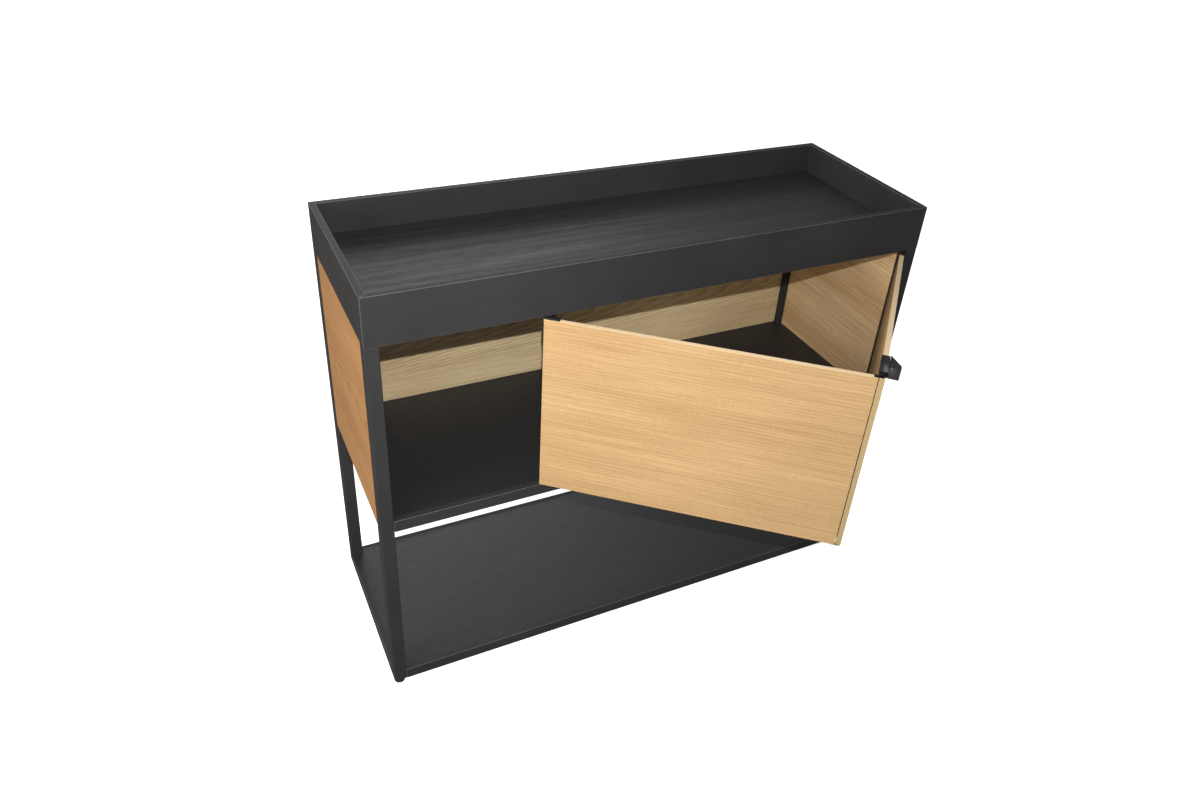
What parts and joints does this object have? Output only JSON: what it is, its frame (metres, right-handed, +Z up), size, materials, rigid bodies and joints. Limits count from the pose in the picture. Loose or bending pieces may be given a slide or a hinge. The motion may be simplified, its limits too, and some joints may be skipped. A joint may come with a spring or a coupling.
{
  "type": "sideboard",
  "caption": "Low sideboard: square-tube frame with an open tray top, middle and bottom shelves, oak back and side panels, and a folding door that slides along the front.",
  "frame": {"origin": "on the floor, under the front left foot", "axes": "+X towards the post that the door is hung on, at the right of someone facing the front; the front faces -Y; +Z up"},
  "size_m": [1, 0.6732, 0.795],
  "materials": {
    "charcoal_paint": "matt powder coat",
    "black_board": "black stained, satin lacquer",
    "oak": "satin lacquer",
    "black_plastic": "moulded, satin",
    "nylon": "moulded",
    "foot_rubber": "matt",
    "zinc_steel": "zinc plated",
    "black_steel": "blackened",
    "aluminium": "anodised"
  },
  "bodies": {
    "frame": {"post_front_left": "charcoal_paint", "post_front_right": "charcoal_paint", "post_back_left": "charcoal_paint", "post_back_right": "charcoal_paint", "mid_rail_front": "charcoal_paint", "mid_rail_back": "charcoal_paint", "mid_rail_left": "charcoal_paint", "mid_rail_right": "charcoal_paint", "bottom_rail_front": "charcoal_paint", "bottom_rail_back": "charcoal_paint", "bottom_rail_left": "charcoal_paint", "bottom_rail_right": "charcoal_paint", "tray_wall_front": "charcoal_paint", "tray_wall_back": "charcoal_paint", "tray_wall_left": "charcoal_paint", "tray_wall_right": "charcoal_paint", "tray_floor": "black_board", "mid_shelf": "black_board", "bottom_shelf": "black_board", "side_panel_left": "oak", "side_panel_right": "oak", "back_panel": "oak", "top_plug_front_left": "nylon", "frame_screw_front_left": "zinc_steel", "foot_plug_front_left": "nylon", "foot_stud_front_left": "zinc_steel", "foot_pad_front_left": "foot_rubber", "top_plug_front_right": "nylon", "frame_screw_front_right": "zinc_steel", "foot_plug_front_right": "nylon", "foot_stud_front_right": "zinc_steel", "foot_pad_front_right": "foot_rubber", "top_plug_back_left": "nylon", "frame_screw_back_left": "zinc_steel", "foot_plug_back_left": "nylon", "foot_stud_back_left": "zinc_steel", "foot_pad_back_left": "foot_rubber", "top_plug_back_right": "nylon", "frame_screw_back_right": "zinc_steel", "foot_plug_back_right": "nylon", "foot_stud_back_right": "zinc_steel", "foot_pad_back_right": "foot_rubber", "door_track": "aluminium", "track_screw_1": "zinc_steel", "track_screw_2": "zinc_steel", "pivot_pin_top": "zinc_steel", "pivot_pin_bottom": "zinc_steel", "pivot_washer": "nylon"},
    "leaf_a": {"leaf_a": "oak", "pivot_cap": "black_plastic", "door_pull": "black_plastic", "fold_pin_top": "zinc_steel", "fold_pin_bottom": "zinc_steel"},
    "leaf_b": {"leaf_b": "oak", "fold_plate_top": "black_steel", "fold_plate_bottom": "black_steel", "guide_bracket": "black_plastic", "guide_peg": "nylon"}
  },
  "joints": [
    {"name": "leaf_a_hinge", "type": "hinge", "parent": "frame", "child": "leaf_a", "pos_m": [0.96125, -0.0063, 0.55], "axis": [0, 0, 1], "range_deg": [-45.6, 11.4]},
    {"name": "leaf_b_fold", "type": "hinge", "parent": "leaf_a", "child": "leaf_b", "pos_m": [0.64738, -0.32681, 0.55], "axis": [0, 0, 1], "range_deg": [-21.25, 85]}
  ],
  "couplings": [
    {"joint": "leaf_b_fold", "follows": "leaf_a_hinge", "ratio": -1.864}
  ]
}
